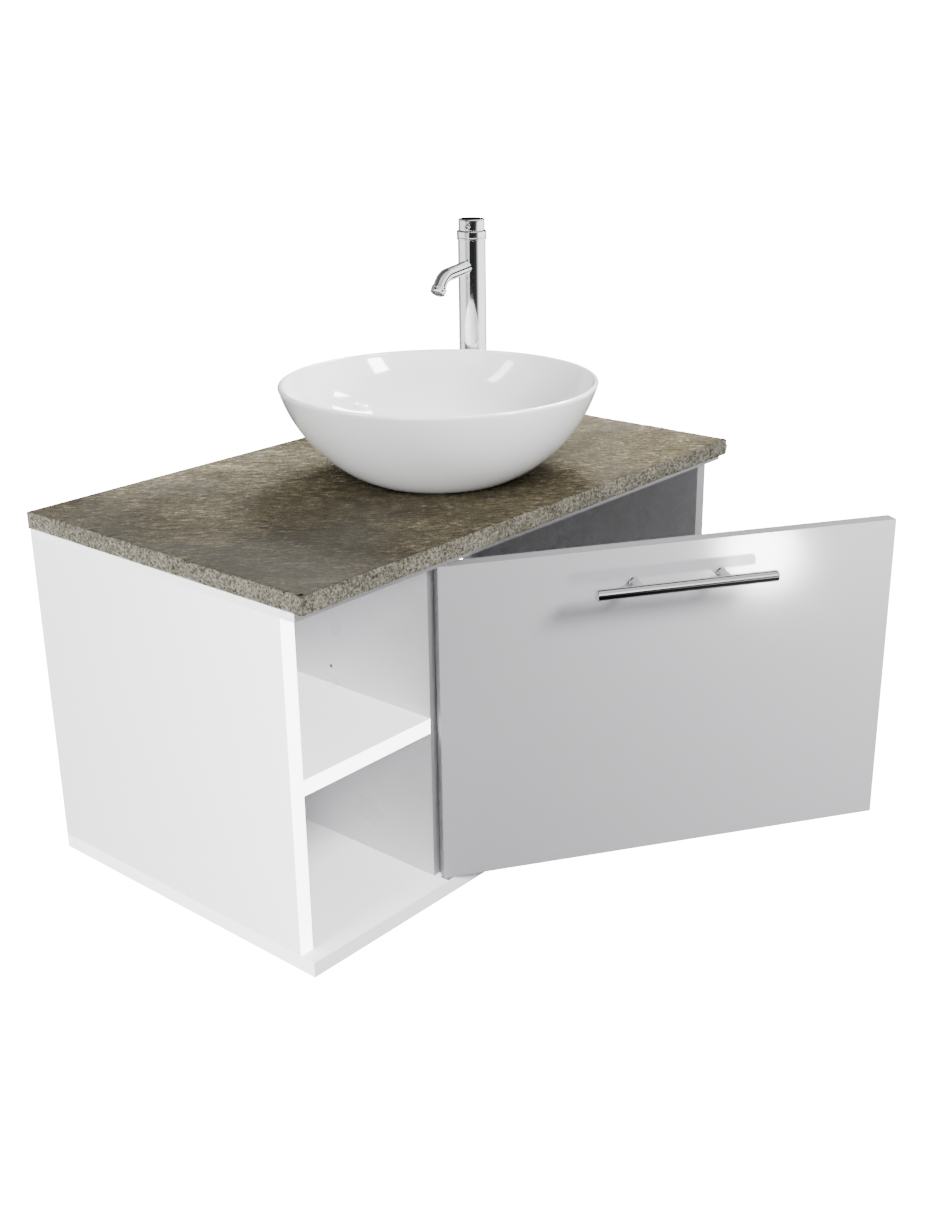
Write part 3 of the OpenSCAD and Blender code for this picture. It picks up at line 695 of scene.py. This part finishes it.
def faucet():
    """Tall column with its foot ring, collar, cap, pin lever, spout and aerator."""
    low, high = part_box("faucet_body")
    axis = Vector(((low.x + high.x) / 2, (low.y + high.y) / 2, 0))
    tilt = JOINTS["tap_lift"]["pos_m"][2]
    lever_way = heading("handle_lever", axis)
    column(axis)
    collar(axis, tilt)
    cap(axis, tilt, lever_way)
    lever(axis, lever_way)
    spout(axis)


def column(axis):
    """Thin chrome sleeve over the faucet's body, and the ring round its foot."""
    low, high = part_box("faucet_body")
    radius = (high.x - low.x) / 2
    skin, inside = radius + 0.03 * MM, radius - 1 * MM
    top = high.z - 0.02 * MM
    sleeve = [(inside, low.z), (skin, low.z), (skin, top), (inside, top), (inside, low.z)]
    at = Matrix.Translation(axis)
    mesh_piece("column_sleeve", lambda bm: lathe(bm, sleeve, at, 128), "faucet_body")

    low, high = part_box("faucet_base_ring")
    wide, bore = (high.x - low.x) / 2, skin + 0.05 * MM
    ring = [(bore, low.z), (wide, low.z), (wide, high.z - 2 * MM),
            (wide - 2.5 * MM, high.z), (bore, high.z), (bore, low.z)]
    mesh_piece("base_ring", lambda bm: lathe(bm, rounded(ring, 0.7 * MM), at, 128), "faucet_base_ring",
               replaces=("faucet_base_ring",))


def collar(axis, tilt):
    """Grooved collar on the column's top, with the ball dome inside the cap."""
    low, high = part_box("handle_collar")
    wide, hole = (high.x - low.x) / 2, 10.2 * MM
    groove = wide - 0.35 * MM
    heights = [(high.z - tilt) * k / 10 for k in range(11)]
    dome = [(math.sqrt(BALL ** 2 - z ** 2), tilt + z) for z in heights]
    lining = [(math.sqrt((BALL - 2.5 * MM) ** 2 - z ** 2), tilt + z) for z in heights[::-1]]
    shape = rounded([(hole, low.z), (wide, low.z), (wide, low.z + 2.2 * MM),
                     (groove, low.z + 2.5 * MM), (groove, low.z + 2.9 * MM),
                     (wide, low.z + 3.2 * MM), (wide, tilt - 0.6 * MM), (wide - 0.6 * MM, tilt),
                     (BALL, tilt)], 0.25 * MM)
    shape += dome[1:] + lining + [(hole, tilt), (hole, low.z)]
    at = Matrix.Translation(axis)
    mesh_piece("collar", lambda bm: lathe(bm, shape, at, 128), "handle_collar", replaces=("handle_collar",))


def cap(axis, tilt, lever_way):
    """Cap over the dome, cut away low down on the side away from the lever so that it can tip back."""
    low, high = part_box("handle_cap")
    radius, cavity, stem_r = (high.x - low.x) / 2, BALL + 0.4 * MM, 5.2 * MM
    ceiling = high.z - 5.5 * MM
    start = math.asin((low.z - tilt) / cavity)
    arch = [(cavity * math.cos(a), tilt + cavity * math.sin(a))
            for a in (start + (math.pi / 2 - start) * k / 12 for k in range(13))]
    arch = [point for point in arch if point[0] > stem_r]
    crown = rounded([(stem_r, arch[-1][1]), (stem_r, ceiling), (0, ceiling)], 0.1 * MM)
    outside = rounded([arch[0], (radius, low.z), (radius, high.z - 1 * MM), (radius - 1 * MM, high.z),
                       (radius * 0.5, high.z), (0, high.z)], 0.5 * MM)
    shape = outside[::-1] + arch[1:] + crown[1:]
    at = Matrix.Translation(axis)
    piece = mesh_piece("cap", lambda bm: lathe(bm, shape, at, 128), "handle_cap", replaces=("handle_cap",))

    def wedge(bm):
        turn = Matrix.Translation((axis.x, axis.y, low.z - 0.05 * MM)) @ lever_turn(lever_way)
        deep, half = 20 * MM, 30 * MM
        rise = deep * math.tan(math.radians(22))
        corners = [(0, 0), (-deep, -3 * MM), (-deep, rise)]
        sides = [[bm.verts.new(turn @ Vector((x, y, z))) for x, z in corners] for y in (-half, half)]
        bm.faces.new(sides[0])
        bm.faces.new(sides[1][::-1])
        join_rings(bm, sides[0], sides[1])

    carve(piece, wedge)


def lever(axis, lever_way):
    """Straight pin lever, rounded at its ends."""
    low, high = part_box("handle_lever")
    radius = (high.z - low.z) / 2
    root, tip, turned = 14 * MM, 45 * MM, 1.2 * MM
    pin = [(0, root), (radius, root), (radius, tip - turned), (radius - turned, tip), (0, tip)]
    place = Matrix.Translation((axis.x, axis.y, (low.z + high.z) / 2)) @ turn_to(lever_way)
    mesh_piece("lever", lambda bm: lathe(bm, rounded(pin, 0.7 * MM), place, 48), "handle_lever",
               replaces=("handle_lever",))


def lever_turn(way):
    """Rotation that takes +X to a level direction."""
    return Matrix.Rotation(math.atan2(way.y, way.x), 4, "Z")


def spout(axis):
    """Sloping tube that bends down to the aerator."""
    way = heading("faucet_spout", axis)
    column_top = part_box("faucet_body")[1].z
    root = axis + Vector((0, 0, column_top - 33 * MM))
    slope, bend, bend_r, straight = math.radians(4), math.radians(50), 24 * MM, 62 * MM
    local = [Vector((s * MM, 0, 0)) for s in (13, 20, 30, 40, 50, 56)]
    local += [Vector((straight + bend_r * math.sin(a), 0, -bend_r * (1 - math.cos(a))))
              for a in (bend * k / 14 for k in range(15))]
    ahead = Vector((math.cos(bend), 0, -math.sin(bend)))
    local.append(local[-1] + ahead * 4 * MM)
    turn = Matrix.Translation(root) @ lever_turn(way) @ Matrix.Rotation(slope, 4, "Y")
    path = [turn @ point for point in local]
    radius = 8.5 * MM
    bore = radius - 2.6 * MM
    mesh_piece("spout", lambda bm: tube(bm, path, radius, bore), "faucet_spout", replaces=("faucet_spout",))
    aerator(Matrix.Translation(path[-1]) @ turn_to(turn.to_3x3() @ ahead), radius, bore)


def aerator(place, radius, bore):
    """Grooved ring on the spout's end, with the fine cells inside."""
    wide, groove, lining = radius + 1.4 * MM, radius + 0.8 * MM, radius - 1 * MM
    shell = [(bore, 0), (radius + 0.6 * MM, 0), (wide, 0.8 * MM), (wide, 3.4 * MM),
             (groove, 3.8 * MM), (groove, 4.4 * MM), (wide, 4.8 * MM), (radius + 1.0 * MM, 8 * MM),
             (radius, 9 * MM), (lining, 9 * MM), (lining, 3 * MM), (bore, 3 * MM), (bore, 0)]
    mesh_piece("aerator_ring", lambda bm: lathe(bm, rounded(shell, 0.25 * MM), place, 72), "aerator_housing",
               replaces=("aerator_housing",))
    cell_r = radius - 1.1 * MM
    insert = [(0, 3.2 * MM), (cell_r, 3.2 * MM), (cell_r, 7.2 * MM), (radius - 2.2 * MM, 6.6 * MM), (0, 6.2 * MM)]
    mesh_piece("aerator_insert", lambda bm: lathe(bm, rounded(insert, 0.3 * MM), place, 48), "aerator_mesh",
               MATERIALS["aerator_grid"], replaces=("aerator_mesh",))


# ---------------------------------------------------------------- studio

def softbox(name, target, azimuth, elevation, distance, size, power, onto, shape="RECTANGLE", shadows=True):
    """An area light out of the camera's sight, seen from its target in a given direction.

    It lights only the pieces named in onto, as a flag would shade the rest.
    With shadows off nothing stands in its way.
    """
    data = bpy.data.lights.new(name, "AREA")
    data.shape = shape
    data.size, data.size_y = size
    data.energy = power
    light = bpy.data.objects.new(name, data)
    turn, lift = math.radians(azimuth), math.radians(elevation)
    away = Vector((math.cos(lift) * math.cos(turn), math.cos(lift) * math.sin(turn), math.sin(lift)))
    light.location = Vector(target) + away * distance
    light.rotation_euler = away.to_track_quat("Z", "Y").to_euler()
    light.visible_camera = False
    bpy.context.scene.collection.objects.link(light)
    group = bpy.data.collections.new(name + "_onto")
    for piece in onto:
        group.objects.link(bpy.data.objects[piece])
    light.light_linking.receiver_collection = group
    if not shadows:
        light.light_linking.blocker_collection = bpy.data.collections.new(name + "_shaded_by")


def choose(tree, ray, otherwise, chosen, output=None):
    """Uses one shader for one kind of ray and another for the rest."""
    mixed = node_of(tree, "ShaderNodeMixShader")
    path = node_of(tree, "ShaderNodeLightPath")
    tree.links.new(path.outputs[ray], mixed.inputs["Fac"])
    tree.links.new(otherwise, mixed.inputs[1])
    tree.links.new(chosen, mixed.inputs[2])
    if output is not None:
        tree.links.new(mixed.outputs[0], output.inputs["Surface"])
    return mixed.outputs[0]


def glow(tree, strength, colour=None, kind="ShaderNodeEmission"):
    """An even glow, or one whose colour follows a pattern."""
    made = node_of(tree, kind, {"Color": (1, 1, 1, 1), "Strength": strength})
    if colour is not None:
        tree.links.new(colour, made.inputs["Color"])
    return made.outputs[0]


def floor():
    """Pale studio floor; gloss sees it dark near the object and in bright streaks further out."""
    level = cad_low.z - 0.42
    reach = 30
    corners = [(-reach, -reach, level), (reach, -reach, level), (reach, reach, level), (-reach, reach, level)]
    ground = flat_sheet("floor", corners)
    material, tree, shader = surface("floor_paint", Roughness=0.8)
    drift = cloud(tree, 1.0, 3)
    tree.links.new(ramp(tree, drift, [(0.3, 0.80), (0.7, 0.84)]), shader.inputs["Base Color"])
    # 1 at the middle of the floor and 0 at 4 m from it
    nearness = node_of(tree, "ShaderNodeTexGradient", gradient_type="SPHERICAL")
    tree.links.new(place_coords(tree, (0.25, 0.25, 0)), nearness.inputs["Vector"])
    far = ramp(tree, nearness.outputs["Fac"], [(0.22, 1.0), (0.30, 0.02)])
    # Once round the middle, from -X by way of -Y
    around = node_of(tree, "ShaderNodeTexGradient", gradient_type="RADIAL")
    tree.links.new(place_coords(tree), around.inputs["Vector"])
    streaks = ramp(tree, around.outputs["Fac"],
                   [(0.0, 0.35), (0.05, 0.5), (0.066, 0.01), (0.155, 0.01), (0.215, 0.02),
                    (0.245, 0.2), (0.28, 1.0), (0.47, 1.0), (0.50, 0.15), (0.77, 0.2),
                    (0.80, 0.7), (0.95, 0.7), (0.965, 0.3)])
    pattern = blend_colours(tree, 1.0, far, streaks, "MULTIPLY")
    seen_in_gloss = choose(tree, "Is Glossy Ray", shader.outputs[0], glow(tree, GLOSS, pattern))
    choose(tree, "Is Camera Ray", seen_in_gloss, glow(tree, WHITE), tree.nodes["Material Output"])
    ground.data.materials.append(material)


def flat_sheet(name, corners):
    """A single flat face."""
    data = bpy.data.meshes.new(name)
    data.from_pydata(corners, [], [(0, 1, 2, 3)])
    sheet = bpy.data.objects.new(name, data)
    bpy.context.scene.collection.objects.link(sheet)
    return sheet


def world():
    """Even pale surroundings; gloss sees a bright front, a dim back, and dark low down and in two seams."""
    made = bpy.data.worlds.new("studio")
    made.use_nodes = True
    tree = made.node_tree
    even = tree.nodes["Background"]
    even.inputs["Strength"].default_value = AMBIENT
    even.inputs["Color"].default_value = (1, 1, 1, 1)
    coords = node_of(tree, "ShaderNodeTexCoord")
    split = node_of(tree, "ShaderNodeSeparateXYZ")
    tree.links.new(coords.outputs["Generated"], split.inputs[0])
    front_to_back = node_of(tree, "ShaderNodeMapRange", {"From Min": -1.0, "From Max": 1.0})
    tree.links.new(split.outputs["Y"], front_to_back.inputs["Value"])
    bands = ramp(tree, front_to_back.outputs[0],
                 [(0.0, 0.8), (0.46, 1.0), (0.475, 0.02), (0.51, 0.02), (0.525, 0.12), (1.0, 0.16)])
    upwards = ramp(tree, split.outputs["Z"], [(0.20, 0.02), (0.28, 1.0), (0.62, 1.0), (0.66, 0.05), (0.72, 0.4)])
    bands = blend_colours(tree, 1.0, bands, upwards, "MULTIPLY")
    in_gloss = choose(tree, "Is Glossy Ray", even.outputs[0], glow(tree, GLOSS, bands, "ShaderNodeBackground"))
    choose(tree, "Is Camera Ray", in_gloss, glow(tree, WHITE, None, "ShaderNodeBackground"),
           tree.nodes["World Output"])
    bpy.context.scene.world = made


def studio():
    """The surroundings, and soft lights for the boards, the bowl, the door and the counter."""
    world()
    floor()
    shade_behind()
    # Each: name, target, azimuth and elevation in degrees, distance, size, power in watts, what it lights
    centre = (cad_low + cad_high) / 2
    softbox("key", centre, -121, 11, 3.2, (1.0, 1.0), 1060, ["left_side_panel_soft", "shelf_soft"])
    softbox("sub_top_key", centre, 180, 10, 3.2, (1.0, 1.0), 320, ["sub_top_soft"])
    softbox("second_key", centre, -128, 36, 3.2, (1.0, 1.0), 360, ["bottom_board_soft"])
    softbox("bottom_side", centre, 180, 5, 3.2, (1.0, 1.0), 330, ["bottom_board_soft"])
    softbox("inner_key", centre, -115, 30, 3.2, (1.0, 1.0), 90, ["divider_panel_soft"])
    softbox("right_fill", centre, 0, 15, 3.2, (1.5, 1.5), 230, ["right_side_panel_soft"])
    bowl = middle("basin")[0]
    softbox("front_window", bowl, -83, 34, 2.6, (0.5, 0.8), 125, ["bowl"])
    softbox("back_window", bowl, 157, 43, 2.6, (0.3, 1.2), 35, ["bowl"])
    softbox("side_window", bowl, -12, 46, 2.6, (0.9, 0.9), 190, ["bowl"])
    softbox("bowl_fill", bowl, -155, 4, 2.6, (1.2, 0.8), 80, ["bowl"])
    along, _ = door_directions()
    door, size = middle("door_panel")
    glint_spot = door + along * size.x * GLINT_ACROSS
    glint_spot.z = door.z + size.z * GLINT_HEIGHT
    past_free_edge = door + along * size.x * 0.75
    softbox("door_glint", glint_spot, -96, -18, 1.9, (0.17, 0.17), 12, ["door_panel_soft"], "DISK", False)
    softbox("door_fill", past_free_edge, -90, 45, 1.2, (0.4, 0.4), 44, ["door_panel_soft"])
    slab = middle("countertop")[0]
    right_end = slab + Vector((0.35, 0.05, 0))
    softbox("counter_light", right_end, 42, 52, 1.5, (0.5, 0.5), 22, ["counter"])
    softbox("counter_side", slab, 180, 5, 2.6, (0.8, 0.8), 30, ["counter"])
    softbox("counter_front", slab, -90, 3, 2.6, (0.8, 0.8), 14, ["counter"])


def shade_behind():
    """Dark card in the cupboard's open back, unseen by the camera: the wall's shade."""
    _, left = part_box("divider_panel")
    right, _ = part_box("right_side_panel")
    upper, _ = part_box("upper_back_rail")
    front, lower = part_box("lower_back_rail")
    shown = [(left.x, lower.z), (right.x, lower.z), (right.x, upper.z), (left.x, upper.z)]
    card = flat_sheet("back_shade", [(x, front.y, z) for x, z in shown])
    card.visible_camera = False
    card.data.materials.append(MATERIALS["black_rubber"])


def finish_materials():
    """Every CAD node that still shows takes its own procedural material."""
    for name, node in NODES.items():
        node.data.materials.clear()
        node.data.materials.append(MATERIALS[SLOT_OF[name]])


make_camera()
finish_materials()
dress_cabinet()
counter()
handle()
basin()
waste()
faucet()
studio()
